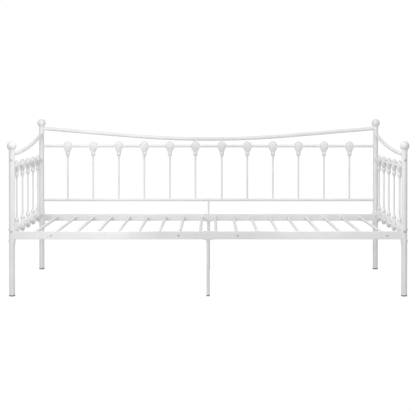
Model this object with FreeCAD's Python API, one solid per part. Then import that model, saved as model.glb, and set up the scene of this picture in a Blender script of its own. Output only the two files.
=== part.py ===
import FreeCAD, Part
import math
import os

# A white tubular-steel daybed. Millimetres, +Z up, +X along the bed, the open long side faces -Y.
# The origin is on the floor, under the middle of the bed.

# ---- overall sizes ----
length = 2045.0  # between the posts' centre lines, along X: a 2000 mm mattress fits between the ends
depth = 920.0  # between the posts' centre lines, along Y: a 900 mm mattress fits
front_height = 809.0  # floor to the top of the front finials
back_height = 921.0  # floor to the top of the back finials

# ---- tubes: outer diameter and wall ----
post_diameter = 30.0
post_wall = 1.2
back_bow_diameter = 22.0
end_bow_diameter = 20.0
bow_wall = 1.2
straight_rail_diameter = 16.0
straight_rail_wall = 1.0
spindle_diameter = 10.0
spindle_wall = 1.0
slat_diameter = 16.0
slat_wall = 1.0
center_leg_diameter = 16.0
center_leg_wall = 1.2

# ---- finials and foot caps ----
finial_diameter = 50.0
finial_plug_length = 22.0
finial_plug_clearance = 0.1  # on the radius, inside the post
finial_wall = 2.5  # the ball is hollow
finial_collar_cover = 3.0  # how far the collar under the ball stands out from the post
finial_collar_height = 3.0
cap_floor = 4.0  # plastic under the tube's end
cap_wall = 1.0
cap_band_height = 7.5  # upright grey band
cap_height = 12.5  # the rest tapers in to the tube
cap_lip = 0.3  # thickness of the taper's upper edge
cap_clearance = 0.05  # between tube and cap

# ---- bed base ----
rail_height = 40.0
rail_thickness = 20.0
rail_wall = 1.2
rail_corner_radius = 2.0
rail_top = 337.5
sleeve_length = 400.0
sleeve_wall = 1.5
sleeve_clearance = 0.2  # to the rail's inside, on every face
join_bolt_offset = 154.0  # from the middle joint to each join bolt
left_rail_screw_inset = 190.5  # front rail, from the rail's end to its single screw
right_rail_screw_inset = 76.5
slats_per_half = 9
slat_center_offset = 41.5  # from the middle of the bed to the first slat of each half
slat_end_gap = 80.5  # from the rail's end to the last slat of each half

# ---- saddle plates at the rail ends ----
saddle_thickness = 3.0
saddle_width = 24.0
saddle_lug = 25.0  # reach above and below the rail
saddle_bolt_reach = 10.0  # from the rail's top or bottom to a bolt

# ---- fasteners ----
bolt_diameter = 6.0
bolt_hole_clearance = 0.1  # on the radius
bolt_head_diameter = 10.5
bolt_head_height = 2.8
bolt_head_rounding = 2.0
bolt_bed_depth = 4.0  # how far a head's rim may reach down the side of a round post
post_screw_head_diameter = 12.0
post_screw_length = 12.0
post_screw_low = 339.0
post_screw_drop = 99.0  # below the front finial's top, for the upper screw in each post

# ---- middle supports ----
center_bracket_width = 52.0
center_bracket_drop = 7.0
center_screw_offset = 16.0  # from the middle joint, along X
center_screw_head_diameter = 10.0
center_screw_head_height = 1.8
center_screw_grip = 3.5  # thread in the bracket
strut_diameter = 10.0

# ---- back panel ----
back_bow_drop = 57.0  # its end, below the back finial's top
back_bow_crossing = 86.0  # its two straight runs would cross this far below its ends
back_bow_radius = 5690.0
back_upper_drop = 166.0  # upper straight rail, below the back finial's top
back_lower_height = 425.0
back_spindle_count = 12
back_spindle_end_gap = 160.0  # from a post's centre line to the nearest spindle
back_spindle_center_gap = 161.5  # between the two middle spindles

# ---- end panels ----
end_bow_front_drop = 70.0  # below the front finial's top
end_bow_back_drop = 90.0  # below the back finial's top
end_upper_drop = 135.0  # below the front finial's top
end_lower_height = 335.0
end_spindle_count = 5
end_spindle_end_gap = 134.0

# ---- castings that lock each spindle to its rail ----
casting_half_width = 26.0
casting_cover = 5.5  # metal in front of and behind the rail
casting_neck_cover = 3.5  # metal round the spindle
casting_crown = 29.0  # from the rail's centre to the tip
casting_reach = 62.0  # from the rail's centre to the neck's end
casting_sleeve_length = 15.0
casting_sleeve_cover = 0.9
casting_sleeve_bury = 2.0  # how far the sleeve runs up inside the neck

# ---- worked out from the above ----
half_length = length / 2
half_depth = depth / 2
post_radius = post_diameter / 2
rail_bottom = rail_top - rail_height
rail_middle = rail_top - rail_height / 2
rail_end = half_length - post_radius
back_upper_height = back_height - back_upper_drop
end_upper_height = front_height - end_upper_drop

V = FreeCAD.Vector
ALONG_X = V(1, 0, 0)
ALONG_Y = V(0, 1, 0)
ALONG_Z = V(0, 0, 1)
CORNERS = {
    "front_left": (-1, -1),
    "front_right": (1, -1),
    "back_left": (-1, 1),
    "back_right": (1, 1),
}
SIDES = {"left": -1, "right": 1}
FACES = {"front": -1, "rear": 1}


# ---- general shapes ----
def rod(start, end, diameter):
    """A solid round bar from one point to another."""
    run = end - start
    return Part.makeCylinder(diameter / 2, run.Length, start, run)


def tube(start, end, diameter, wall):
    """A straight round tube, open at both ends."""
    return rod(start, end, diameter).cut(rod(start, end, diameter - 2 * wall))


def pipe(path, diameter):
    """A solid round bar along a smooth wire."""
    first = path.OrderedEdges[0]
    start = first.valueAt(first.FirstParameter)
    along = first.tangentAt(first.FirstParameter)
    ring = Part.Wire(Part.makeCircle(diameter / 2, start, along))
    return path.makePipeShell([ring], True, False)


def bent_tube(path, diameter, wall):
    """A round tube along a smooth wire."""
    return pipe(path, diameter).cut(pipe(path, diameter - 2 * wall))


def even_places(first, last, count):
    """Evenly spaced values from the first to the last."""
    pitch = (last - first) / (count - 1)
    return [first + pitch * i for i in range(count)]


def mirrored(right):
    """Places along X in the right half, with the same ones in the left half before them."""
    return [-x for x in reversed(right)] + right


def box(x_range, y_range, z_range):
    """A block between three pairs of coordinates."""
    corner = V(min(x_range), min(y_range), min(z_range))
    size = [abs(r[1] - r[0]) for r in (x_range, y_range, z_range)]
    return Part.makeBox(*size, corner)


def save(node, *pieces):
    """Write a node: one solid for each piece, checked."""
    solids = []
    for piece in pieces:
        if len(piece.Solids) != 1 or not piece.isValid():
            raise ValueError(node + " has a piece that is not one valid solid")
        solids.append(piece.Solids[0])
    shape = solids[0] if len(solids) == 1 else Part.makeCompound(solids)
    shape.exportStep(os.path.join("parts", node + ".step"))


# ---- posts, with their finials and foot caps ----
def ball_height(side_y):
    """Height of the middle of a finial's ball."""
    return (front_height if side_y < 0 else back_height) - finial_diameter / 2


def post_top(side_y):
    """Height where the post's rim meets its finial, level with the collar's underside."""
    collar_radius = post_radius + finial_collar_cover
    ball_drop = math.sqrt((finial_diameter / 2) ** 2 - collar_radius**2)
    return ball_height(side_y) - ball_drop - finial_collar_height


def post_line(side_x, side_y, low, high):
    """Two points on a post's centre line."""
    x, y = side_x * half_length, side_y * half_depth
    return V(x, y, low), V(x, y, high)


def post_core(side_x, side_y):
    """The post as a solid bar, used to shape what meets it."""
    return rod(*post_line(side_x, side_y, cap_floor, post_top(side_y)), post_diameter)


def post_screw_heights():
    return post_screw_low, front_height - post_screw_drop


def saddle_bolt_heights():
    return rail_bottom - saddle_bolt_reach, rail_top + saddle_bolt_reach


def post(side_x, side_y):
    """A post tube, drilled for its two saddle bolts and two screws."""
    ends = post_line(side_x, side_y, cap_floor, post_top(side_y))
    shape = tube(*ends, post_diameter, post_wall)
    hole = bolt_diameter + 2 * bolt_hole_clearance
    x, y = side_x * half_length, side_y * half_depth
    for z in saddle_bolt_heights():
        shape = shape.cut(rod(V(x - post_diameter, y, z), V(x + post_diameter, y, z), hole))
    for z in post_screw_heights():
        shape = shape.cut(rod(V(x, y + side_y * post_diameter, z), V(x, y, z), hole))
    return shape


def finial(side_x, side_y):
    """A hollow ball on a collar that sits on the post's rim, with a plug inside the tube."""
    low, rim = post_line(side_x, side_y, post_top(side_y) - finial_plug_length, post_top(side_y))
    middle = V(rim.x, rim.y, ball_height(side_y))
    ball = Part.makeSphere(finial_diameter / 2, middle).cut(rod(low, rim, finial_diameter))
    collar = rod(rim, middle, post_diameter + 2 * finial_collar_cover)
    plug = rod(low, middle, post_diameter - 2 * post_wall - 2 * finial_plug_clearance)
    hollow = Part.makeSphere(finial_diameter / 2 - finial_wall, middle)
    return ball.fuse([collar, plug]).cut(hollow)


def foot_cap(foot, leg_diameter):
    """A plastic cap on a leg's end: an upright band, then a taper that closes on the tube."""
    band_radius = leg_diameter / 2 + cap_wall
    lip_radius = leg_diameter / 2 + cap_lip
    band = Part.makeCylinder(band_radius, cap_band_height, foot)
    rise = cap_height - cap_band_height
    taper = Part.makeCone(band_radius, lip_radius, rise, foot + V(0, 0, cap_band_height))
    socket = rod(
        foot + V(0, 0, cap_floor),
        foot + V(0, 0, cap_height + cap_floor),
        leg_diameter + 2 * cap_clearance,
    )
    return band.fuse(taper).removeSplitter().cut(socket)


# ---- fasteners ----
def button_head(seat, outward, head_diameter, core):
    """A low round head that beds on whatever surface the core has."""
    root = seat - outward * bolt_bed_depth
    head = Part.makeCylinder(head_diameter / 2, bolt_bed_depth + bolt_head_height, root, outward)
    top = [e for e in head.Edges if (e.CenterOfMass - seat).dot(outward) > bolt_head_height - 1e-6]
    return head.makeFillet(bolt_head_rounding, top).cut(core)


def saddle_bolt(side_x, side_y, z):
    """A bolt through the post and into the tapped saddle plate, its head outside."""
    outward = V(side_x, 0, 0)
    seat = V(side_x * (half_length + post_radius), side_y * half_depth, z)
    head = button_head(seat, outward, bolt_head_diameter, post_core(side_x, side_y))
    tip = V(side_x * (half_length - post_radius - saddle_thickness), seat.y, z)
    return head.fuse(rod(seat, tip, bolt_diameter))


def post_screw(side_x, side_y, z):
    """A screw in the wall of a post that faces away from the end panel."""
    outward = V(0, side_y, 0)
    seat = V(side_x * half_length, side_y * (half_depth + post_radius), z)
    head = button_head(seat, outward, post_screw_head_diameter, post_core(side_x, side_y))
    return head.fuse(rod(seat, seat - outward * post_screw_length, bolt_diameter))


def rail_bolt(x, side_y, reach):
    """A bolt in a bed rail, its head on the rail's outer face."""
    outward = V(0, side_y, 0)
    seat = V(x, side_y * (half_depth + rail_thickness / 2), rail_middle)
    face = box((x - 50, x + 50), (seat.y, seat.y - side_y * rail_thickness), (rail_bottom, rail_top))
    head = button_head(seat, outward, bolt_head_diameter, face)
    return head.fuse(rod(seat, seat - outward * reach, bolt_diameter))


def center_screw_places(side_y):
    """Where the screws stand that hold a middle bracket, one in each half rail."""
    y = side_y * half_depth
    return [V(side * center_screw_offset, y, rail_top) for side in (-1, 1)]


def center_screw_holes(side_y, clearance):
    """Bars down through the rail's two walls at the middle screws."""
    down = V(0, 0, -rail_height)
    return [rod(seat, seat + down, bolt_diameter + 2 * clearance) for seat in center_screw_places(side_y)]


def center_screw(seat):
    """A low-headed screw from the rail's top down into the bracket."""
    head = Part.makeCylinder(center_screw_head_diameter / 2, center_screw_head_height, seat)
    top = [e for e in head.Edges if e.CenterOfMass.z > seat.z + center_screw_head_height - 1e-6]
    head = head.makeFillet(center_screw_head_height / 2, top)
    return head.fuse(rod(seat, seat - V(0, 0, rail_height + center_screw_grip), bolt_diameter))


# ---- bed base ----
def rail_section(x_range, side_y, inset):
    """A bar with the rail's rounded section, drawn in by a distance on every long face."""
    y = side_y * half_depth
    half = rail_thickness / 2 - inset
    bar = box(x_range, (y - half, y + half), (rail_bottom + inset, rail_top - inset))
    corner_radius = rail_corner_radius - inset
    if corner_radius <= 0:
        return bar
    long_edges = [e for e in bar.Edges if abs(e.tangentAt(0).x) > 0.99]
    return bar.makeFillet(corner_radius, long_edges)


def saddle_bend(side_x, side_y, extra):
    """The post's centre line as a bar that is thicker than the post all round."""
    return rod(*post_line(side_x, side_y, 0, back_height), post_diameter + 2 * extra)


def saddle(side_x, side_y):
    """A curved plate, rounded top and bottom, welded to the rail and bolted to the post."""
    bend = saddle_bend(side_x, side_y, saddle_thickness)
    inner = saddle_bend(side_x, side_y, 0)
    x_inner = side_x * (half_length - post_diameter)
    x_middle = side_x * half_length
    y = side_y * half_depth
    half_width = saddle_width / 2
    low, high = rail_bottom - saddle_lug, rail_top + saddle_lug
    y_range = (y - half_width, y + half_width)
    outline = box((x_inner, x_middle), y_range, (low + half_width, high - half_width))
    for z in (low + half_width, high - half_width):
        outline = outline.fuse(rod(V(x_inner, y, z), V(x_middle, y, z), saddle_width))
    plate = outline.common(bend.cut(inner))
    for z in saddle_bolt_heights():
        plate = plate.cut(rod(V(x_inner, y, z), V(x_middle, y, z), bolt_diameter))
    return plate


def rail_bolt_places(side_x, side_y):
    """Where bolts enter one half rail, along X."""
    places = [side_x * join_bolt_offset]
    if side_y < 0:
        inset = left_rail_screw_inset if side_x < 0 else right_rail_screw_inset
        places.append(side_x * (rail_end - inset))
    return places


def half_rail(side_x, side_y):
    """Half of a long rail: rectangular tube from the middle joint to its saddle plate."""
    reach = (0, side_x * half_length)
    shape = rail_section(reach, side_y, 0).cut(rail_section(reach, side_y, rail_wall))
    shape = shape.cut(saddle_bend(side_x, side_y, saddle_thickness))
    hole = bolt_diameter + 2 * bolt_hole_clearance
    for x in rail_bolt_places(side_x, side_y):
        outer = V(x, side_y * (half_depth + rail_thickness), rail_middle)
        shape = shape.cut(rod(outer, V(x, side_y * half_depth, rail_middle), hole))
    return shape.cut(center_screw_holes(side_y, bolt_hole_clearance))


def rail_sleeve(side_y):
    """The inner tube that joins two half rails."""
    reach = (-sleeve_length / 2, sleeve_length / 2)
    outer_inset = rail_wall + sleeve_clearance
    shape = rail_section(reach, side_y, outer_inset)
    shape = shape.cut(rail_section(reach, side_y, outer_inset + sleeve_wall))
    for x in (-join_bolt_offset, join_bolt_offset):
        outer = V(x, side_y * (half_depth + rail_thickness), rail_middle)
        shape = shape.cut(rod(outer, V(x, side_y * half_depth, rail_middle), bolt_diameter))
    return shape.cut(center_screw_holes(side_y, bolt_hole_clearance))


def slat_places():
    """Where the slats lie along X, left to right."""
    return mirrored(even_places(slat_center_offset, rail_end - slat_end_gap, slats_per_half))


def slat(x):
    """A round tube between the inner faces of the long rails, at the middle of their height."""
    reach = half_depth - rail_thickness / 2
    return tube(V(x, -reach, rail_middle), V(x, reach, rail_middle), slat_diameter, slat_wall)


# ---- middle supports ----
def center_bracket(side_y):
    """A pressed saddle under the middle joint, round underneath, as wide as the rail."""
    half_width = center_bracket_width / 2
    radius = (half_width**2 + center_bracket_drop**2) / (2 * center_bracket_drop)
    y = side_y * half_depth
    outer = y - rail_thickness / 2
    axis_point = V(0, outer, rail_bottom - center_bracket_drop + radius)
    drum = Part.makeCylinder(radius, rail_thickness, axis_point, ALONG_Y)
    y_range = (outer, outer + rail_thickness)
    below = box((-half_width, half_width), y_range, (rail_bottom - 2 * radius, rail_bottom))
    bracket = drum.common(below)
    for seat in center_screw_places(side_y):
        entry = V(seat.x, seat.y, rail_bottom)
        bracket = bracket.cut(rod(entry, entry - V(0, 0, center_screw_grip), bolt_diameter))
    return bracket


def center_leg(side_y):
    """A thin leg from its foot cap to the bracket."""
    y = side_y * half_depth
    top = rail_bottom - center_bracket_drop / 2
    leg = tube(V(0, y, cap_floor), V(0, y, top), center_leg_diameter, center_leg_wall)
    return leg.cut(center_bracket(side_y))


def back_strut():
    """A bar from the back panel's lower rail down to the rear bed rail."""
    bar = rod(V(0, half_depth, rail_top), V(0, half_depth, back_lower_height), strut_diameter)
    return bar.cut(back_straight_rail_core(back_lower_height))


# ---- castings ----
def casting(diameter):
    """A casting at the origin: round the rail, which runs along X, and over the spindle's top."""
    rail_cover = diameter / 2 + casting_cover
    neck = spindle_diameter / 2 + casting_neck_cover
    waist = casting_half_width / 2
    sections = (
        (casting_crown, 3.0, 2.5),
        (casting_crown * 0.86, casting_half_width * 0.58, rail_cover * 0.62),
        (casting_crown * 0.52, casting_half_width * 0.95, rail_cover * 0.93),
        (casting_crown * 0.1, casting_half_width, rail_cover),
        (-casting_reach * 0.2, casting_half_width * 0.95, rail_cover),
        (-casting_reach * 0.36, casting_half_width * 0.77, rail_cover * 0.95),
        (-casting_reach * 0.53, casting_half_width * 0.58, rail_cover * 0.9),
        (-casting_reach * 0.65, waist, rail_cover * 0.86),
        (-casting_reach * 0.85, waist * 0.98, rail_cover * 0.86),
        (-casting_reach * 0.95, neck, neck),
        (-casting_reach, neck * 0.8, neck * 0.8),
    )
    rings = []
    for height, half_width, half_thickness in sections:
        shape = Part.makeCircle(1.0, V(0, 0, 0))
        stretch = FreeCAD.Matrix()
        stretch.scale(half_width, half_thickness, 1.0)
        ring = shape.transformGeometry(stretch)
        ring.translate(V(0, 0, height))
        rings.append(Part.Wire(ring))
    body = Part.makeLoft(rings, True, False)
    sleeve_end = -casting_reach - casting_sleeve_length
    sleeve_top = V(0, 0, -casting_reach + casting_sleeve_bury)
    sleeve = rod(V(0, 0, sleeve_end), sleeve_top, spindle_diameter + 2 * casting_sleeve_cover)
    body = body.fuse(sleeve)
    body = body.cut(rod(V(-2 * casting_half_width, 0, 0), V(2 * casting_half_width, 0, 0), diameter))
    return body.cut(rod(V(0, 0, sleeve_end), V(0, 0, 0), spindle_diameter))


def placed(shape, spot, turn_z=0, upside_down=False):
    """A copy of a shape, turned and moved to its place."""
    copy = shape.copy()
    if upside_down:
        copy.rotate(V(0, 0, 0), ALONG_X, 180)
    copy.rotate(V(0, 0, 0), ALONG_Z, turn_z)
    copy.translate(spot)
    return copy


# ---- back panel ----
def back_straight_rail_core(z):
    return rod(V(-half_length, half_depth, z), V(half_length, half_depth, z), straight_rail_diameter)


def between_posts(shape, corners):
    """Cut a rail's ends to bed on its two posts."""
    for side_x, side_y in corners:
        shape = shape.cut(post_core(side_x, side_y))
    return shape


BACK_POSTS = ((-1, 1), (1, 1))


def back_straight_rail(z):
    ends = (V(-half_length, half_depth, z), V(half_length, half_depth, z))
    return between_posts(tube(*ends, straight_rail_diameter, straight_rail_wall), BACK_POSTS)


def back_bow_path():
    """Two straight runs that slope to the middle, joined by one large arc."""
    end_z = back_height - back_bow_drop
    slope = math.atan2(back_bow_crossing, half_length)
    arc_half = back_bow_radius * math.sin(slope)
    arc_end_z = end_z - (half_length - arc_half) * math.tan(slope)
    lowest = arc_end_z - back_bow_radius * (1 - math.cos(slope))
    left_end = V(-half_length, half_depth, end_z)
    left_bend = V(-arc_half, half_depth, arc_end_z)
    right_bend = V(arc_half, half_depth, arc_end_z)
    right_end = V(half_length, half_depth, end_z)
    return Part.Wire([
        Part.makeLine(left_end, left_bend),
        Part.Arc(left_bend, V(0, half_depth, lowest), right_bend).toShape(),
        Part.makeLine(right_bend, right_end),
    ])


def back_bow():
    return between_posts(bent_tube(back_bow_path(), back_bow_diameter, bow_wall), BACK_POSTS)


def back_spindle_places():
    """Evenly spaced in each half, with a gap of its own between the halves."""
    outer = half_length - back_spindle_end_gap
    right = even_places(back_spindle_center_gap / 2, outer, back_spindle_count // 2)
    return mirrored(right)


def back_spindle(x):
    low, high = V(x, half_depth, back_lower_height), V(x, half_depth, back_upper_height)
    shape = tube(low, high, spindle_diameter, spindle_wall)
    for z in (back_lower_height, back_upper_height):
        shape = shape.cut(back_straight_rail_core(z))
    return shape


# ---- end panels ----
def end_posts(side_x):
    return (side_x, -1), (side_x, 1)


def end_rail_ends(side_x, z):
    return V(side_x * half_length, -half_depth, z), V(side_x * half_length, half_depth, z)


def end_straight_rail(side_x, z):
    shape = tube(*end_rail_ends(side_x, z), straight_rail_diameter, straight_rail_wall)
    shape = between_posts(shape, end_posts(side_x))
    for corner in end_posts(side_x):
        shape = shape.cut(saddle(*corner))
    return shape


def end_bow(side_x):
    """One arc that leaves the front post level and climbs to the back post."""
    x = side_x * half_length
    front_z = front_height - end_bow_front_drop
    rise = back_height - end_bow_back_drop - front_z
    radius = (depth**2 + rise**2) / (2 * rise)
    half_angle = math.asin(depth / radius) / 2
    middle = V(x, -half_depth + radius * math.sin(half_angle), front_z + radius * (1 - math.cos(half_angle)))
    arc = Part.Arc(V(x, -half_depth, front_z), middle, V(x, half_depth, front_z + rise))
    shape = bent_tube(Part.Wire(arc.toShape()), end_bow_diameter, bow_wall)
    return between_posts(shape, end_posts(side_x))


def end_spindle_places():
    outer = half_depth - end_spindle_end_gap
    return even_places(-outer, outer, end_spindle_count)


def end_spindle(side_x, y):
    x = side_x * half_length
    shape = tube(V(x, y, end_lower_height), V(x, y, end_upper_height), spindle_diameter, spindle_wall)
    for z in (end_lower_height, end_upper_height):
        shape = shape.cut(rod(*end_rail_ends(side_x, z), straight_rail_diameter))
    return shape


def end_castings(side_x, template):
    """The castings of one end panel: one at each end of each spindle."""
    x = side_x * half_length
    row = []
    for y in end_spindle_places():
        row.append(placed(template, V(x, y, end_upper_height), turn_z=90))
        row.append(placed(template, V(x, y, end_lower_height), turn_z=90, upside_down=True))
    return row


# ---- write every node ----
os.makedirs("parts", exist_ok=True)

for corner, (side_x, side_y) in CORNERS.items():
    save("post_" + corner, post(side_x, side_y))
    save("finial_" + corner, finial(side_x, side_y))
    save("rail_saddle_" + corner, saddle(side_x, side_y))
    save("half_rail_" + corner, half_rail(side_x, side_y))
save("post_foot_caps", *[foot_cap(post_line(*corner, 0, 1)[0], post_diameter) for corner in CORNERS.values()])
save("saddle_bolts", *[saddle_bolt(*corner, z) for corner in CORNERS.values() for z in saddle_bolt_heights()])
save("post_screws", *[post_screw(*corner, z) for corner in CORNERS.values() for z in post_screw_heights()])

rail_bolts = []
for side_x, side_y in CORNERS.values():
    rail_bolts += [rail_bolt(x, side_y, rail_thickness / 2) for x in rail_bolt_places(side_x, side_y)]
save("rail_bolts", *rail_bolts)
save("rail_sleeves", *[rail_sleeve(side_y) for side_y in FACES.values()])

for face, side_y in FACES.items():
    save("center_leg_" + face, center_leg(side_y))
save("center_brackets", *[center_bracket(side_y) for side_y in FACES.values()])
screw_seats = [seat for side_y in FACES.values() for seat in center_screw_places(side_y)]
save("center_screws", *[center_screw(seat) for seat in screw_seats])
save("center_leg_caps", *[foot_cap(V(0, y * half_depth, 0), center_leg_diameter) for y in FACES.values()])

for number, x in enumerate(slat_places(), start=1):
    save("slat_%02d" % number, slat(x))

rosette = casting(straight_rail_diameter)
save("back_bow_rail", back_bow())
save("back_upper_rail", back_straight_rail(back_upper_height))
save("back_lower_rail", back_straight_rail(back_lower_height))
save("back_spindles", *[back_spindle(x) for x in back_spindle_places()])
save("back_castings", *[placed(rosette, V(x, half_depth, back_upper_height)) for x in back_spindle_places()])
save("back_center_strut", back_strut())

for side, side_x in SIDES.items():
    save(side + "_bow_rail", end_bow(side_x))
    save(side + "_upper_rail", end_straight_rail(side_x, end_upper_height))
    save(side + "_lower_rail", end_straight_rail(side_x, end_lower_height))
    save(side + "_spindles", *[end_spindle(side_x, y) for y in end_spindle_places()])
    save(side + "_castings", *end_castings(side_x, rosette))
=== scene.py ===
import math

import bmesh
import bpy
from mathutils import Matrix, Vector


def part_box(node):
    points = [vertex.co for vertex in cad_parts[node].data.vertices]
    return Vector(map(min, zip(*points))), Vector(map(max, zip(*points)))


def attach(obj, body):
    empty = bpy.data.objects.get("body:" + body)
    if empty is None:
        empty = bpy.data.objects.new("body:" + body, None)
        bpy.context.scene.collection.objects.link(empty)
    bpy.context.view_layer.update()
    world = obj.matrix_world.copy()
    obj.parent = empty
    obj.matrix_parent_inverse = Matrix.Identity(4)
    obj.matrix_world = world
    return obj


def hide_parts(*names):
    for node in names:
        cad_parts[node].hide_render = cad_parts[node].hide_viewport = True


# A white tubular-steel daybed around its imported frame. Metres, +Z up, the open long side faces -Y.

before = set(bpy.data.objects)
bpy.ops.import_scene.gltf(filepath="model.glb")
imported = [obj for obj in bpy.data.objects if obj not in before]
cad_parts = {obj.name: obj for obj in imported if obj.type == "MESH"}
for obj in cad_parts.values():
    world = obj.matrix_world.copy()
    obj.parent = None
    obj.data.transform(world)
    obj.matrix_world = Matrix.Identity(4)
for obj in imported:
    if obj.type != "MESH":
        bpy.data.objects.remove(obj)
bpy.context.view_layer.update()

MM = 0.001
TURN = 2 * math.pi
CORNERS = {
    "front_left": (-1, -1),
    "front_right": (1, -1),
    "back_left": (-1, 1),
    "back_right": (1, 1),
}
SIDES = {"left": -1, "right": 1}

# ---- sizes that the frame doesn't give by itself ----
SPINDLES_IN_BACK = 12
SPINDLES_IN_END = 5
BACK_CENTER_GAP = 161.5 * MM
SLATS = 18
JOIN_BOLT_OFFSET = 154 * MM  # from the bed's middle to the bolts that join the half rails
FINIAL_COLLAR_RADIUS = 18 * MM
FINIAL_COLLAR_HEIGHT = 3 * MM
BACK_BOW_SLOPE = 86.0 / 1022.5  # where the back's bowed rail leaves its post
BACK_BOW_DROP = 57 * MM  # the bowed rails' ends, below the finials' tops
END_BOW_FRONT_DROP = 70 * MM
END_BOW_BACK_DROP = 90 * MM
SADDLE_THICKNESS = 3 * MM
ROUND_SEGMENTS = 72


# ---- places, read from the frame ----
def middle(node):
    """The middle of a node's box."""
    low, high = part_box(node)
    return (low + high) / 2


def half_size(node, axis):
    """Half of a node's box along one axis."""
    low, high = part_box(node)
    return (high[axis] - low[axis]) / 2


def spread(first, last, count):
    """Evenly spaced values from the first to the last."""
    return [first + (last - first) * i / (count - 1) for i in range(count)]


def back_spindle_places():
    """The back spindles along X: evenly spaced in each half, with a wider gap between the halves."""
    low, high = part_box("back_spindles")
    right = spread(BACK_CENTER_GAP / 2, high.x - SPINDLE_RADIUS, SPINDLES_IN_BACK // 2)
    return [-x for x in reversed(right)] + right


POSTS = {corner: middle("post_" + corner) for corner in CORNERS}
POST_RADIUS = half_size("post_front_left", 0)
TUBE_RADIUS = half_size("back_upper_rail", 2)
SPINDLE_RADIUS = half_size("back_spindles", 1)
SLAT_RADIUS = half_size("slat_01", 0)
STRUT_RADIUS = half_size("back_center_strut", 0)
LEG_RADIUS = half_size("center_leg_front", 0)
RAIL_LOW, RAIL_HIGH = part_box("half_rail_front_left")
RAIL_HALF_THICKNESS = (RAIL_HIGH.y - RAIL_LOW.y) / 2
RAIL_HALF_HEIGHT = (RAIL_HIGH.z - RAIL_LOW.z) / 2
SADDLE_RADIUS = POST_RADIUS + SADDLE_THICKNESS


# ---- meshes ----
def new_piece(name, mesh, material, nodes=(), place=None):
    """Put a finished mesh into the scene as a piece of the bed."""
    piece = bpy.data.objects.new(name, mesh)
    bpy.context.scene.collection.objects.link(piece)
    if place is not None:
        piece.matrix_world = place
    mesh.materials.clear()
    mesh.materials.append(material)
    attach(piece, "root")
    if nodes:
        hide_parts(*nodes)
    return piece


def finished(bm, name, sharp_angle=38):
    """A mesh with smooth faces and sharp edges where two faces meet steeply."""
    bmesh.ops.recalc_face_normals(bm, faces=bm.faces)
    mesh = bpy.data.meshes.new(name)
    bm.to_mesh(mesh)
    bm.free()
    mesh.shade_smooth()
    mesh.set_sharp_from_angle(angle=math.radians(sharp_angle))
    return mesh


def bridge(bm, below, above):
    """Faces between two closed rings of the same count."""
    count = len(below)
    for i in range(count):
        j = (i + 1) % count
        bm.faces.new((below[i], below[j], above[j], above[i]))


def cap(bm, ring, point):
    """A fan that closes a ring on one point."""
    tip = bm.verts.new(point)
    for i in range(len(ring)):
        bm.faces.new((ring[i], ring[(i + 1) % len(ring)], tip))


def stacked(rings, start, end):
    """A closed form through a row of rings, closed on a point at each end."""
    bm = bmesh.new()
    made = [[bm.verts.new(p) for p in ring] for ring in rings]
    for below, above in zip(made, made[1:]):
        bridge(bm, below, above)
    cap(bm, made[0], start)
    cap(bm, made[-1], end)
    return bm


def circle(radius, z, segments):
    """Points of a level circle about the Z axis."""
    angles = [TURN * i / segments for i in range(segments)]
    return [Vector((radius * math.cos(a), radius * math.sin(a), z)) for a in angles]


def turned(outline, segments):
    """A closed turned form from (radius, z) points, bottom to top."""
    rings = [circle(radius, z, segments) for radius, z in outline]
    return stacked(rings, (0, 0, outline[0][1]), (0, 0, outline[-1][1]))


def round_corner(radius, z, size, start, end, steps=5):
    """Points on an arc about (radius, z), by angle in degrees, 0 outward and 90 up."""
    angles = [math.radians(start + (end - start) * i / steps) for i in range(steps + 1)]
    return [(radius + size * math.cos(a), z + size * math.sin(a)) for a in angles]


def smooth_step(low, high, value):
    """0 below the low value, 1 above the high one, with a smooth change between them."""
    share = min(1.0, max(0.0, (value - low) / (high - low)))
    return share * share * (3 - 2 * share)


# ---- materials ----
def add_node(tree, kind, **inputs):
    """A shader node with some of its inputs set."""
    node = tree.nodes.new(kind)
    for name, value in inputs.items():
        node.inputs[name.replace("_", " ")].default_value = value
    return node


def noise(tree, place, scale, detail, stretch=(1, 1, 1)):
    """Noise in the piece's own metres, stretched along an axis where wanted."""
    mapping = add_node(tree, "ShaderNodeMapping", Scale=stretch)
    tree.links.new(place, mapping.inputs["Vector"])
    texture = add_node(tree, "ShaderNodeTexNoise", Scale=scale, Detail=detail, Roughness=0.55)
    tree.links.new(mapping.outputs["Vector"], texture.inputs["Vector"])
    return texture.outputs["Fac"]


def blend_range(tree, factor, low, high):
    """A value that runs from low to high as the factor does."""
    node = add_node(tree, "ShaderNodeMapRange", From_Min=0.3, From_Max=0.7, To_Min=low, To_Max=high)
    tree.links.new(factor, node.inputs["Value"])
    return node.outputs["Result"]


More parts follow.
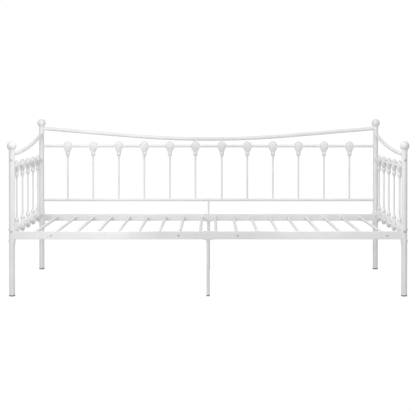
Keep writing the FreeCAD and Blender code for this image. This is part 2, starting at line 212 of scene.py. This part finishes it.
def finish_material(name, dark, light, mottle, gloss, bumps, stretch=(1, 1, 1), metallic=0.0):
    """A surface whose colour, roughness and bump all come from noise at its own scales.

    mottle is the scale of the colour change, gloss is (scale, low, high) of the roughness, and
    bumps is a row of (scale, detail, height in metres).
    """
    material = bpy.data.materials.new(name)
    material.use_nodes = True
    tree = material.node_tree
    shader = tree.nodes["Principled BSDF"]
    shader.inputs["Metallic"].default_value = metallic
    place = tree.nodes.new("ShaderNodeTexCoord").outputs["Object"]

    ramp = tree.nodes.new("ShaderNodeValToRGB")
    ramp.color_ramp.elements[0].position = 0.32
    ramp.color_ramp.elements[0].color = (*dark, 1)
    ramp.color_ramp.elements[1].position = 0.68
    ramp.color_ramp.elements[1].color = (*light, 1)
    tree.links.new(noise(tree, place, mottle, 5, stretch), ramp.inputs["Fac"])
    tree.links.new(ramp.outputs["Color"], shader.inputs["Base Color"])

    scale, low, high = gloss
    roughness = blend_range(tree, noise(tree, place, scale, 4, stretch), low, high)
    tree.links.new(roughness, shader.inputs["Roughness"])

    normal = None
    for scale, detail, height in bumps:
        bump = add_node(tree, "ShaderNodeBump", Strength=1.0, Distance=height)
        tree.links.new(noise(tree, place, scale, detail, stretch), bump.inputs["Height"])
        if normal is not None:
            tree.links.new(normal, bump.inputs["Normal"])
        normal = bump.outputs["Normal"]
    tree.links.new(normal, shader.inputs["Normal"])
    return material


# semi-gloss powder coat on smooth tube: slow mottle, orange peel and a finer grain
frame_paint = finish_material(
    "frame_paint",
    dark=(0.800, 0.803, 0.808),
    light=(0.855, 0.857, 0.858),
    mottle=9,
    gloss=(38, 0.30, 0.42),
    bumps=((520, 2, 0.00011), (2400, 2, 0.00002)),
)

# the same coat over cast metal, whose skin is coarser
casting_paint = finish_material(
    "casting_paint",
    dark=(0.785, 0.789, 0.796),
    light=(0.860, 0.862, 0.863),
    mottle=55,
    gloss=(90, 0.26, 0.40),
    bumps=((170, 3, 0.00028), (900, 2, 0.00007)),
)

# grey moulded plastic with a spark-eroded grain
sole_plastic = finish_material(
    "sole_plastic",
    dark=(0.235, 0.238, 0.243),
    light=(0.305, 0.308, 0.312),
    mottle=120,
    gloss=(260, 0.50, 0.66),
    bumps=((1500, 3, 0.00007), (240, 2, 0.00006)),
)

# pale ring above the sole
ring_plastic = finish_material(
    "ring_plastic",
    dark=(0.79, 0.79, 0.785),
    light=(0.85, 0.85, 0.845),
    mottle=140,
    gloss=(220, 0.40, 0.52),
    bumps=((1500, 3, 0.00005), (300, 2, 0.00004)),
)

# plated screws: bright zinc with a faint dull bloom
zinc = finish_material(
    "zinc",
    dark=(0.50, 0.51, 0.53),
    light=(0.66, 0.67, 0.68),
    mottle=420,
    gloss=(600, 0.28, 0.46),
    bumps=((1800, 3, 0.00004), (350, 2, 0.00005)),
    metallic=1.0,
)

# drawn steel, streaked along the tube
drawn_steel = finish_material(
    "drawn_steel",
    dark=(0.42, 0.42, 0.43),
    light=(0.60, 0.60, 0.61),
    mottle=260,
    gloss=(420, 0.30, 0.50),
    bumps=((900, 3, 0.00006), (160, 2, 0.00004)),
    stretch=(0.03, 1, 1),
    metallic=1.0,
)


# ---- castings: a ribbed palmette over each spindle's end ----
CASTING_LOBES = 7  # on each face
CASTING_STEPS_PER_LOBE = 8
CASTING_LOBE_POWER = 0.7  # under 1, the grooves are narrow and the lobes broad
CASTING_FULLNESS = 0.25  # how far the head's plan goes from an oval towards a rectangle
CASTING_RAIL_BORE = 80 * MM  # both bores run past the casting
CASTING_SPINDLE_BORE = 100 * MM
CASTING_OUTLINE = (  # height from the rail's centre, half width, half thickness, groove depth, in millimetres
    (28.9, 2.2, 1.8, 0.0),
    (27.2, 9.0, 5.6, 0.0),
    (22.0, 17.4, 9.6, 0.2),
    (15.5, 24.2, 12.2, 0.6),
    (9.5, 26.0, 13.5, 1.1),
    (0.0, 26.0, 13.5, 2.0),
    (-9.0, 25.8, 13.5, 2.8),
    (-15.0, 24.6, 13.3, 3.3),
    (-21.0, 21.6, 12.9, 3.5),
    (-27.0, 17.7, 12.2, 3.1),
    (-33.5, 14.2, 11.2, 2.1),
    (-37.5, 11.4, 9.8, 0.9),
    (-39.5, 10.2, 9.0, 0.1),
    (-41.5, 11.9, 10.6, 0.0),
    (-46.0, 13.1, 11.9, 0.0),
    (-51.0, 13.1, 11.9, 0.0),
    (-55.5, 11.3, 10.4, 0.0),
    (-59.5, 8.9, 8.6, 0.0),
    (-61.8, 6.8, 6.8, 0.0),
    (-62.8, 5.9, 5.9, 0.0),
    (-76.3, 5.9, 5.9, 0.0),
    (-77.0, 5.5, 5.5, 0.0),
)


def casting_ring(height, half_width, half_thickness, groove):
    """One level ring of a casting, drawn in at the grooves between its lobes."""
    count = 2 * CASTING_LOBES * CASTING_STEPS_PER_LOBE
    fullness = 1 - CASTING_FULLNESS * smooth_step(-45, -20, height)
    ring = []
    for i in range(count):
        angle = TURN * i / count
        lobe = abs(math.sin(CASTING_LOBES * angle)) ** CASTING_LOBE_POWER
        inset = groove * (1 - lobe)
        across, out = math.cos(angle), math.sin(angle)
        x = (half_width - inset) * math.copysign(abs(across) ** fullness, across)
        y = (half_thickness - inset) * math.copysign(abs(out) ** fullness, out)
        ring.append(Vector((x, y, height)) * MM)
    return ring


def casting_rows():
    """The outline with rows added between its points, on a smooth curve."""
    rows = []
    last = len(CASTING_OUTLINE) - 1
    for i in range(last):
        before, here, there, after = (CASTING_OUTLINE[min(max(k, 0), last)] for k in range(i - 1, i + 3))
        for t in (0.0, 0.5):
            row = []
            for a, b, c, d in zip(before, here, there, after):
                bend = (2 * b, c - a, 2 * a - 5 * b + 4 * c - d, 3 * b - 3 * c + d - a)
                row.append(0.5 * sum(k * t**power for power, k in enumerate(bend)))
            rows.append(row)
    rows.append(CASTING_OUTLINE[last])
    return rows


def cut_rods(mesh, rods):
    """The mesh with round bars cut out of it, each (radius, length, matrix)."""
    body = bpy.data.objects.new("casting_blank", mesh)
    bpy.context.scene.collection.objects.link(body)
    cutters = []
    for radius, length, matrix in rods:
        bm = turned([(radius, -length / 2), (radius, length / 2)], ROUND_SEGMENTS)
        bm.transform(matrix)
        cutter = bpy.data.objects.new("cutter", finished(bm, "cutter"))
        bpy.context.scene.collection.objects.link(cutter)
        modifier = body.modifiers.new("bore", "BOOLEAN")
        modifier.operation = "DIFFERENCE"
        modifier.solver = "EXACT"
        modifier.object = cutter
        cutters.append(cutter)
    bpy.context.view_layer.update()
    result = bpy.data.meshes.new_from_object(body.evaluated_get(bpy.context.evaluated_depsgraph_get()))
    for spare in (body, *cutters):
        bpy.data.objects.remove(spare)
    return result


def casting_template():
    """One casting about the origin, bored for its rail along X and for the spindle under it."""
    rings = [casting_ring(*row) for row in casting_rows()]
    top = (0, 0, CASTING_OUTLINE[0][0] * MM + 0.1 * MM)
    bottom = (0, 0, CASTING_OUTLINE[-1][0] * MM)
    blank = finished(stacked(rings, top, bottom), "casting_blank")
    rail_bore = (TUBE_RADIUS, CASTING_RAIL_BORE, Matrix.Rotation(math.pi / 2, 4, "Y"))
    spindle_middle = Matrix.Translation((0, 0, -CASTING_SPINDLE_BORE / 2))
    spindle_bore = (SPINDLE_RADIUS, CASTING_SPINDLE_BORE, spindle_middle)
    mesh = cut_rods(blank, (rail_bore, spindle_bore))
    mesh.shade_smooth()
    mesh.set_sharp_from_angle(angle=math.radians(50))
    return mesh


def add_casting(name, template, node, place):
    """One separate casting, standing for its panel's node with the others."""
    new_piece(name, template.copy(), casting_paint, [node], place)


def add_castings():
    """One over each back spindle, and one at each end of each end spindle."""
    template = casting_template()
    half_width = max(row[1] for row in CASTING_OUTLINE) * MM
    rail = middle("back_upper_rail")
    for i, x in enumerate(back_spindle_places(), 1):
        place = Matrix.Translation((x, rail.y, rail.z))
        add_casting("back_casting_%02d" % i, template, "back_castings", place)
    quarter_turn = Matrix.Rotation(math.pi / 2, 4, "Z")
    upside_down = Matrix.Rotation(math.pi, 4, "X")
    for side in SIDES:
        node = side + "_castings"
        low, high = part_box(node)
        for i, y in enumerate(spread(low.y + half_width, high.y - half_width, SPINDLES_IN_END), 1):
            for level, flip in (("upper", Matrix.Identity(4)), ("lower", upside_down)):
                rail = middle(side + "_" + level + "_rail")
                place = Matrix.Translation((rail.x, y, rail.z)) @ quarter_turn @ flip
                add_casting("%s_%s_casting_%d" % (side, level, i), template, node, place)


# ---- finials ----
PLUG_INSET = 1.3 * MM  # the plug's radius is this much less than the post's
PLUG_LEAD = 1.5 * MM  # taper at the plug's tip
BARBS = 3
BARB_PITCH = 4.5 * MM
BARB_BAND = 1.2 * MM
BARB_END = 1.6 * MM
BARB_DEPTH = 0.7 * MM
COLLAR_EDGE = 0.9 * MM
COLLAR_TOP_INSET = 1.8 * MM  # the collar's top, inside its own radius
BALL_START_INSET = 1.2 * MM  # where the ball starts, inside the collar's radius
BALL_STEPS = 44


def finial_mesh():
    """A ball on a rounded collar, with a barbed plug below, its origin at the post's rim."""
    low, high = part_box("finial_front_left")
    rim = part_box("post_front_left")[1].z
    ball_radius = (high.x - low.x) / 2
    ball_height = high.z - rim - ball_radius
    plug_radius = POST_RADIUS - PLUG_INSET
    plug_depth = rim - low.z
    edge = COLLAR_EDGE
    outline = [(plug_radius - PLUG_LEAD, -plug_depth)]
    for i in range(BARBS):
        foot = -plug_depth + PLUG_LEAD + i * BARB_PITCH
        outline += [(plug_radius, foot), (plug_radius, foot + BARB_BAND)]
        outline.append((plug_radius - BARB_DEPTH, foot + BARB_END))
    collar = FINIAL_COLLAR_RADIUS - edge
    outline += [(plug_radius - BARB_DEPTH, 0), (collar, 0)]
    outline += round_corner(collar, edge, edge, -90, 0)
    outline += round_corner(collar, FINIAL_COLLAR_HEIGHT - 1.2 * edge, edge, 0, 80)
    outline.append((FINIAL_COLLAR_RADIUS - COLLAR_TOP_INSET, FINIAL_COLLAR_HEIGHT + 0.1 * MM))
    start = -math.degrees(math.acos((FINIAL_COLLAR_RADIUS - BALL_START_INSET) / ball_radius))
    outline += round_corner(0, ball_height, ball_radius, start, 89, BALL_STEPS)
    return finished(turned(outline, ROUND_SEGMENTS), "finial")


def add_finials():
    """One on each post's rim."""
    mesh = finial_mesh()
    for corner, post in POSTS.items():
        place = Matrix.Translation((post.x, post.y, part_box("post_" + corner)[1].z))
        node = "finial_" + corner
        new_piece("ball_" + node, mesh.copy(), casting_paint, [node], place)


# ---- foot caps ----
CAP_FLOOR = 4 * MM
CAP_SOLE_HEIGHT = 7.5 * MM
SOLE_EDGE = 1.3 * MM
SOLE_HOLLOW = 0.9 * MM
SOLE_GROOVE = 0.35 * MM  # its depth, and half its width
SOLE_GROOVE_HEIGHTS = (3.4 * MM, 5.2 * MM)
SOLE_TOP_EDGE = 0.5 * MM
SOLE_WALL = 1.0 * MM
RING_WALL = 0.98 * MM
RING_STEP = 0.12 * MM  # set in from the sole
RING_EDGE = 0.5 * MM
RING_TAPER = 1.6 * MM
RING_LIP = 0.28 * MM


def sole_mesh(radius):
    """The grey sole: hollowed underneath, rounded at the ground and grooved round its band."""
    outline = [(radius * 0.3, SOLE_HOLLOW), (radius * 0.62, SOLE_HOLLOW), (radius * 0.72, 0)]
    outline += round_corner(radius - SOLE_EDGE, SOLE_EDGE, SOLE_EDGE, -90, 0)
    for z in SOLE_GROOVE_HEIGHTS:
        outline += [(radius, z - SOLE_GROOVE), (radius - SOLE_GROOVE, z), (radius, z + SOLE_GROOVE)]
    top = CAP_SOLE_HEIGHT - SOLE_TOP_EDGE
    outline += round_corner(radius - SOLE_TOP_EDGE, top, SOLE_TOP_EDGE, 0, 90, 3)
    wall = radius - SOLE_WALL
    outline += [(wall, CAP_SOLE_HEIGHT), (wall, CAP_FLOOR), (radius * 0.2, CAP_FLOOR)]
    return finished(turned(outline, ROUND_SEGMENTS), "sole")


def ring_mesh(radius, height):
    """The pale ring above the sole: an open band that closes in to the tube."""
    inner = radius - RING_WALL
    outline = [(inner, CAP_SOLE_HEIGHT), (radius - RING_STEP, CAP_SOLE_HEIGHT)]
    outline += round_corner(radius - RING_STEP - RING_EDGE, height - RING_TAPER, RING_EDGE, 0, 60, 4)
    outline += [(inner + RING_LIP, height - 0.1 * MM), (inner, height)]
    bm = bmesh.new()
    rings = [[bm.verts.new(p) for p in circle(r, z, ROUND_SEGMENTS)] for r, z in outline]
    for below, above in zip(rings, rings[1:] + rings[:1]):
        bridge(bm, below, above)
    return finished(bm, "cap_ring")


def add_feet(node, feet, radius):
    """A sole and a ring under each of one node's feet, given as (name, x, y)."""
    sole = sole_mesh(radius)
    ring = ring_mesh(radius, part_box(node)[1].z)
    for name, x, y in feet:
        place = Matrix.Translation((x, y, 0))
        new_piece("foot_sole_" + name, sole.copy(), sole_plastic, [node], place)
        new_piece("foot_ring_" + name, ring.copy(), ring_plastic, [node], place)


def add_foot_caps():
    """Under the four posts and the two middle legs."""
    feet = [("post_" + corner, post.x, post.y) for corner, post in POSTS.items()]
    add_feet("post_foot_caps", feet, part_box("post_foot_caps")[1].x - POSTS["front_right"].x)
    feet = [("center_" + face, 0.0, middle("center_leg_" + face).y) for face in ("front", "rear")]
    add_feet("center_leg_caps", feet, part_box("center_leg_caps")[1].x)


# ---- fasteners ----
SHANK_RADIUS = 3 * MM
THREAD_PITCH = 1.0 * MM
THREAD_ROOT_SHARE = 0.86
POST_SCREW_LENGTH = 11 * MM
CENTER_SCREW_REACH = 3 * MM  # past the rail, into the bracket
SCREW_SEGMENTS = 48
SOCKET_SHARE = 0.42  # half the socket's width over the head's radius
RIM_SHARE = 0.28  # the head's upright rim over its height
DOME_SHARE = 0.66  # the round above the rim over its height
FLAT_SHARE = 0.94  # where the round goes flat
SOCKET_FLOOR_SHARE = 0.15


def socket_screw(head_radius, head_height, shank_radius, shank_length, bed_radius=None):
    """A button-headed screw along +Z with a hexagon socket, its head's rim shaped to a round post."""
    segments = SCREW_SEGMENTS
    key = SOCKET_SHARE * head_radius
    pitch = THREAD_PITCH

    def hexagon(z, across):
        """Points of a level hexagon, its flats at a distance from the axis."""
        ring = []
        for point in circle(1.0, 0, segments):
            angle = math.atan2(point.y, point.x)
            reach = across / math.cos((angle % (TURN / 6)) - TURN / 12)
            ring.append(Vector((point.x * reach, point.y * reach, z)))
        return ring

    rings = []
    z = -shank_length
    rings.append(circle(shank_radius * 0.7, z, segments))
    while z < -2 * pitch:
        rings.append(circle(shank_radius, z + 0.25 * pitch, segments))
        rings.append(circle(shank_radius * THREAD_ROOT_SHARE, z + 0.75 * pitch, segments))
        z += pitch
    rings.append(circle(shank_radius * 0.95, -1.5 * pitch, segments))
    for radius in (shank_radius * 0.95, head_radius * 0.96, head_radius):
        rings.append(circle(radius, 0, segments))
    if bed_radius is not None:
        for ring in rings[-3:]:
            for point in ring:
                point.z -= bed_radius - math.sqrt(bed_radius**2 - point.x**2)
    for degrees in (0, 15, 30, 44, 54):
        angle = math.radians(degrees)
        height = head_height * (RIM_SHARE + DOME_SHARE * math.sin(angle))
        rings.append(circle(head_radius * math.cos(angle), height, segments))
    rings.append(circle(key * 1.3, head_height * FLAT_SHARE, segments))
    rings.append(hexagon(head_height * 0.93, key * 1.05))
    rings.append(hexagon(head_height * 0.86, key))
    rings.append(hexagon(head_height * SOCKET_FLOOR_SHARE, key))
    bm = stacked(rings, (0, 0, -shank_length - 0.3 * MM), (0, 0, head_height * 0.1))
    return finished(bm, "socket_screw", 32)


def facing(seat, outward, across):
    """A place at the seat with +Z outward and +X across."""
    z_axis = Vector(outward)
    x_axis = Vector(across)
    y_axis = z_axis.cross(x_axis)
    turn = Matrix((x_axis, y_axis, z_axis)).transposed().to_4x4()
    return Matrix.Translation(seat) @ turn


def add_screws(node, label, mesh, places):
    """One separate screw at each place, all standing for one node."""
    for i, place in enumerate(places, 1):
        new_piece("%s_%d" % (label, i), mesh.copy(), zinc, [node], place)


def post_spots(low, high, radius):
    """A place on each post at two heights, as (side_x, side_y, z)."""
    heights = (low.z + radius, high.z - radius)
    return [(side_x, side_y, z) for side_x, side_y in CORNERS.values() for z in heights]


def add_saddle_bolts():
    """Two through each post, with their heads on the bed's ends."""
    low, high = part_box("saddle_bolts")
    post = POSTS["back_right"]
    radius = high.y - post.y
    height = high.x - post.x - POST_RADIUS
    bolt = socket_screw(radius, height, SHANK_RADIUS, 2 * POST_RADIUS, POST_RADIUS)
    places = []
    for side_x, side_y, z in post_spots(low, high, radius):
        seat = (side_x * (post.x + POST_RADIUS), side_y * post.y, z)
        places.append(facing(seat, (side_x, 0, 0), (0, side_x, 0)))
    add_screws("saddle_bolts", "saddle_bolt", bolt, places)


def add_post_screws():
    """Two in each post, with their heads on the front and on the back."""
    low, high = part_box("post_screws")
    post = POSTS["back_right"]
    radius = high.x - post.x
    height = high.y - post.y - POST_RADIUS
    screw = socket_screw(radius, height, SHANK_RADIUS, POST_SCREW_LENGTH, POST_RADIUS)
    places = []
    for side_x, side_y, z in post_spots(low, high, radius):
        seat = (side_x * post.x, side_y * (post.y + POST_RADIUS), z)
        places.append(facing(seat, (0, side_y, 0), (side_y, 0, 0)))
    add_screws("post_screws", "post_screw", screw, places)


def add_rail_bolts():
    """Two near the middle of each long rail, and two single ones further out in the front rail."""
    low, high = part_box("rail_bolts")
    radius = (high.z - low.z) / 2
    height = high.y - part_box("half_rail_back_left")[1].y
    bolt = socket_screw(radius, height, SHANK_RADIUS, RAIL_HALF_THICKNESS)
    joins = (-JOIN_BOLT_OFFSET, JOIN_BOLT_OFFSET)
    spots = [(x, -1) for x in (*joins, low.x + radius, high.x - radius)]
    spots += [(x, 1) for x in joins]
    places = []
    for x, side_y in spots:
        seat = (x, side_y * (POSTS["back_left"].y + RAIL_HALF_THICKNESS), (low.z + high.z) / 2)
        places.append(facing(seat, (0, side_y, 0), (side_y, 0, 0)))
    add_screws("rail_bolts", "rail_bolt", bolt, places)


def add_center_screws():
    """Two down through each long rail into the bracket of its middle leg."""
    low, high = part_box("center_screws")
    rail_y = POSTS["back_left"].y
    radius = high.y - rail_y
    length = 2 * RAIL_HALF_HEIGHT + CENTER_SCREW_REACH
    screw = socket_screw(radius, high.z - RAIL_HIGH.z, SHANK_RADIUS, length)
    places = []
    for side_y in (-1, 1):
        for x in (low.x + radius, high.x - radius):
            places.append(facing((x, side_y * rail_y, RAIL_HIGH.z), (0, 0, 1), (1, 0, 0)))
    add_screws("center_screws", "center_screw", screw, places)


# ---- weld beads ----
BEAD_RADIUS = 1.25 * MM
BEAD_SIDES = 10
BEAD_RIPPLE = 0.13  # the ripples' height over the bead's radius
SPINDLE_RIPPLES = 14
SLAT_RIPPLES = 20
TUBE_RIPPLES = 22
END_BOW_RIPPLES = 26
BACK_BOW_RIPPLES = 30
SADDLE_RIPPLES = 40
SADDLE_POINTS = 120
SADDLE_FLATS = (1.9, 1.15)  # above 1, the oval round the rail's end is cut flat at its sides and ends
LEG_WELD_DROP = 3.4 * MM  # below the middle leg's top, under its bracket
UP = (0, 0, 1)
DOWN = (0, 0, -1)


def bead(bm, points, axis, ripples):
    """A rippled ring of weld along closed points that go round an axis."""
    center = sum(points, Vector()) / len(points)
    axis = Vector(axis).normalized()
    rings = []
    for i, point in enumerate(points):
        arm = point - center
        outward = (arm - axis * arm.dot(axis)).normalized()
        radius = BEAD_RADIUS * (1 + BEAD_RIPPLE * math.sin(TURN * ripples * i / len(points)))
        ring = []
        for j in range(BEAD_SIDES):
            angle = TURN * j / BEAD_SIDES
            ring.append(bm.verts.new(point + (outward * math.cos(angle) + axis * math.sin(angle)) * radius))
        rings.append(ring)
    for here, there in zip(rings, rings[1:] + rings[:1]):
        bridge(bm, here, there)


def on_cylinder(center, toward, up, rod_radius, core_radius, slope=0.0, count=56):
    """Where a round rod that leaves a round core meets its surface, as closed points.

    toward is the rod's direction and up the core's axis; both are unit vectors at a right angle.
    """
    toward, up = Vector(toward), Vector(up)
    side = up.cross(toward)
    points = []
    for i in range(count):
        angle = TURN * i / count
        across = rod_radius * math.sin(angle)
        along = math.sqrt(core_radius**2 - across**2)
        rise = rod_radius * math.cos(angle) + slope * along
        points.append(Vector(center) + toward * along + side * across + up * rise)
    return points


def on_plane(center, axis, radius, count=48):
    """A circle about an axis."""
    axis = Vector(axis)
    side = axis.orthogonal().normalized()
    other = axis.cross(side)
    angles = [TURN * i / count for i in range(count)]
    return [Vector(center) + (side * math.cos(a) + other * math.sin(a)) * radius for a in angles]


def weld_piece(name, bm):
    """The finished beads of one part of the bed, painted with it."""
    new_piece(name, finished(bm, name, 60), frame_paint)


def add_rail_welds():
    """Beads where the panels' rails meet the posts."""
    bow_radius = half_size("left_bow_rail", 0)
    back_bow_radius = half_size("back_bow_rail", 1)
    back_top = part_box("finial_back_left")[1].z
    front_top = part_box("finial_front_left")[1].z
    bm = bmesh.new()
    for side_x in SIDES.values():
        toward = (-side_x, 0, 0)
        post = Vector((side_x * POSTS["back_right"].x, POSTS["back_right"].y, 0))
        for node in ("back_upper_rail", "back_lower_rail"):
            center = post + Vector((0, 0, middle(node).z))
            bead(bm, on_cylinder(center, toward, UP, TUBE_RADIUS, POST_RADIUS), toward, TUBE_RIPPLES)
        center = post + Vector((0, 0, back_top - BACK_BOW_DROP))
        ring = on_cylinder(center, toward, UP, back_bow_radius, POST_RADIUS, -BACK_BOW_SLOPE)
        bead(bm, ring, toward, BACK_BOW_RIPPLES)
    weld_piece("welds_back_rails", bm)

    run = POSTS["back_left"].y - POSTS["front_left"].y
    rise = back_top - END_BOW_BACK_DROP - (front_top - END_BOW_FRONT_DROP)
    bow_arc = (run**2 + rise**2) / (2 * rise)
    back_slope = run / (bow_arc - rise)
    for side in SIDES:
        bm = bmesh.new()
        for side_y, bow_z, slope in (
            (-1, front_top - END_BOW_FRONT_DROP, 0.0),
            (1, back_top - END_BOW_BACK_DROP, -back_slope),
        ):
            toward = (0, -side_y, 0)
            post = Vector((SIDES[side] * POSTS["back_right"].x, side_y * POSTS["back_right"].y, 0))
            for level in ("upper", "lower"):
                center = post + Vector((0, 0, middle(side + "_" + level + "_rail").z))
                bead(bm, on_cylinder(center, toward, UP, TUBE_RADIUS, POST_RADIUS), toward, TUBE_RIPPLES)
            center = post + Vector((0, 0, bow_z))
            bead(bm, on_cylinder(center, toward, UP, bow_radius, POST_RADIUS, slope), toward, END_BOW_RIPPLES)
        weld_piece("welds_%s_rails" % side, bm)


def add_panel_welds():
    """Beads at the feet of the back spindles and at the strut's two ends."""
    rail = middle("back_lower_rail")
    bm = bmesh.new()
    for x in back_spindle_places():
        ring = on_cylinder((x, rail.y, rail.z), UP, (1, 0, 0), SPINDLE_RADIUS, TUBE_RADIUS)
        bead(bm, ring, UP, SPINDLE_RIPPLES)
    strut = on_cylinder((0, rail.y, rail.z), DOWN, (1, 0, 0), STRUT_RADIUS, TUBE_RADIUS)
    bead(bm, strut, DOWN, SPINDLE_RIPPLES)
    bead(bm, on_plane((0, rail.y, RAIL_HIGH.z), UP, STRUT_RADIUS), UP, SPINDLE_RIPPLES)
    weld_piece("welds_back_spindles", bm)


def add_base_welds():
    """Beads where slats meet the long rails, rails meet saddle plates and legs meet brackets."""
    for face, side_y in (("front", -1), ("rear", 1)):
        bm = bmesh.new()
        for i in range(1, SLATS + 1):
            slat = middle("slat_%02d" % i)
            center = (slat.x, side_y * half_size("slat_%02d" % i, 1), slat.z)
            bead(bm, on_plane(center, (0, 1, 0), SLAT_RADIUS), (0, 1, 0), SLAT_RIPPLES)
        weld_piece("welds_slats_" + face, bm)

    bm = bmesh.new()
    rail_z = (RAIL_LOW.z + RAIL_HIGH.z) / 2
    for side_x, side_y in CORNERS.values():
        post = Vector((side_x * POSTS["back_right"].x, side_y * POSTS["back_right"].y, rail_z))
        ring = []
        for angle in (TURN * i / SADDLE_POINTS for i in range(SADDLE_POINTS)):
            across = RAIL_HALF_THICKNESS * max(-1, min(1, SADDLE_FLATS[0] * math.sin(angle)))
            rise = RAIL_HALF_HEIGHT * max(-1, min(1, SADDLE_FLATS[1] * math.cos(angle)))
            along = math.sqrt(SADDLE_RADIUS**2 - across**2)
            ring.append(post + Vector((-side_x * along, across, rise)))
        bead(bm, ring, (side_x, 0, 0), SADDLE_RIPPLES)
    weld_piece("welds_saddles", bm)

    bm = bmesh.new()
    for face in ("front", "rear"):
        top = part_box("center_leg_" + face)[1].z - LEG_WELD_DROP
        center = (0, middle("center_leg_" + face).y, top)
        bead(bm, on_plane(center, UP, LEG_RADIUS), UP, SLAT_RIPPLES)
    weld_piece("welds_center_legs", bm)


# ---- the bed ----
add_castings()
add_finials()
add_foot_caps()
add_saddle_bolts()
add_post_screws()
add_rail_bolts()
add_center_screws()
add_rail_welds()
add_panel_welds()
add_base_welds()

for name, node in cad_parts.items():
    finish = drawn_steel if name == "rail_sleeves" else frame_paint
    node.data.materials.clear()
    node.data.materials.append(finish)

# ---- studio ----
scene = bpy.context.scene
scene.view_settings.view_transform = "Standard"


def plain_emission(name, strength):
    """A surface that only glows, the same all over."""
    material = bpy.data.materials.new(name)
    material.use_nodes = True
    tree = material.node_tree
    tree.nodes.clear()
    glow = tree.nodes.new("ShaderNodeEmission")
    glow.inputs["Strength"].default_value = strength
    output = tree.nodes.new("ShaderNodeOutputMaterial")
    tree.links.new(glow.outputs["Emission"], output.inputs["Surface"])
    return material


def plain_diffuse(name, grey):
    """A dull surface, the same grey all over."""
    material = bpy.data.materials.new(name)
    material.use_nodes = True
    shader = material.node_tree.nodes["Principled BSDF"]
    shader.inputs["Base Color"].default_value = (grey, grey, grey, 1)
    shader.inputs["Roughness"].default_value = 0.9
    return material


def stage_piece(name, bm, material, seen, lights):
    """A part of the studio that the camera sees, or that light bounces from, or both."""
    mesh = bpy.data.meshes.new(name)
    bm.to_mesh(mesh)
    bm.free()
    mesh.materials.append(material)
    piece = bpy.data.objects.new(name, mesh)
    scene.collection.objects.link(piece)
    piece.visible_camera = seen
    piece.visible_diffuse = lights
    piece.visible_glossy = lights
    piece.visible_transmission = lights
    piece.visible_shadow = lights
    return piece


def square(size, z):
    """A level square, given half its side."""
    bm = bmesh.new()
    bmesh.ops.create_grid(bm, x_segments=1, y_segments=1, size=size)
    bmesh.ops.translate(bm, verts=bm.verts, vec=(0, 0, z))
    return bm


def dome(radius):
    """A wide ball round everything."""
    bm = bmesh.new()
    bmesh.ops.create_icosphere(bm, subdivisions=4, radius=radius)
    return bm


STUDIO_WHITE = 1.02
stage_piece("pale_floor", square(12, -0.5 * MM), plain_emission("floor_white", STUDIO_WHITE), True, False)
stage_piece("backdrop", dome(28), plain_emission("backdrop_white", STUDIO_WHITE), True, False)
stage_piece("bounce_floor", square(4, -1.0 * MM), plain_diffuse("bounce_grey", 0.50), False, True)


def soft_light(name, place, aim, size, power):
    """A rectangular lamp that the camera doesn't see."""
    light = bpy.data.lights.new(name, "AREA")
    light.shape = "RECTANGLE"
    light.size, light.size_y = size
    light.energy = power
    lamp = bpy.data.objects.new(name, light)
    scene.collection.objects.link(lamp)
    lamp.location = place
    lamp.rotation_euler = (Vector(aim) - Vector(place)).to_track_quat("-Z", "Y").to_euler()
    lamp.visible_camera = False
    return lamp


soft_light("overhead_softbox", (-0.2, -1.2, 2.8), (0, 0, 0.4), (2.6, 1.6), 12)
soft_light("front_softbox", (-2.6, -8.0, 3.0), (0, 0, 0.5), (4.4, 3.0), 190)
soft_light("left_softbox", (-0.45, -0.5, 0.85), (-1.1, -0.1, 0.65), (0.8, 0.9), 2.1)
soft_light("right_softbox", (0.45, -0.5, 0.85), (1.1, -0.1, 0.65), (0.8, 0.9), 1.2)
rear = soft_light("rear_softbox", (-1.0, 6.0, 2.2), (0, 0, 0.5), (4.0, 2.4), 120)
rear.visible_glossy = False  # its reflections would bleach the slats in the front view

# the surroundings: brighter to the front and back than to the sides
world = bpy.data.worlds.new("studio")
world.use_nodes = True
scene.world = world
tree = world.node_tree
sky = tree.nodes["Background"]
direction = tree.nodes.new("ShaderNodeTexCoord").outputs["Generated"]
split = tree.nodes.new("ShaderNodeSeparateXYZ")
tree.links.new(direction, split.inputs["Vector"])
sideways = tree.nodes.new("ShaderNodeMath")
sideways.operation = "ABSOLUTE"
tree.links.new(split.outputs["X"], sideways.inputs[0])
level = tree.nodes.new("ShaderNodeMapRange")
level.inputs["From Min"].default_value = 0.25
level.inputs["From Max"].default_value = 0.95
level.inputs["To Min"].default_value = 0.76
level.inputs["To Max"].default_value = 0.36
tree.links.new(sideways.outputs["Value"], level.inputs["Value"])
tree.links.new(level.outputs["Result"], sky.inputs["Strength"])
sky.inputs["Color"].default_value = (1, 1, 1, 1)

# ---- camera: level with the finials, square on to the long open side ----
CAMERA_PLACE = (0.0165, -5.673, 0.942)
CAMERA_LENS = 86.7
SENSOR_WIDTH = 36
SIDE_SHIFT = -0.0079
LENS_SHIFT = -0.185
FULL_SHIFT = -0.2224  # the shift that would keep the camera level
camera_data = bpy.data.cameras.new("camera")
camera_data.sensor_width = SENSOR_WIDTH
camera_data.lens = CAMERA_LENS
camera_data.shift_x = SIDE_SHIFT
camera_data.shift_y = LENS_SHIFT
camera = bpy.data.objects.new("camera", camera_data)
scene.collection.objects.link(camera)
tilt = math.atan((FULL_SHIFT - LENS_SHIFT) * SENSOR_WIDTH / CAMERA_LENS)
camera.location = CAMERA_PLACE
camera.rotation_euler = (math.pi / 2 + tilt, 0, 0)
scene.camera = camera

bpy.context.view_layer.update()
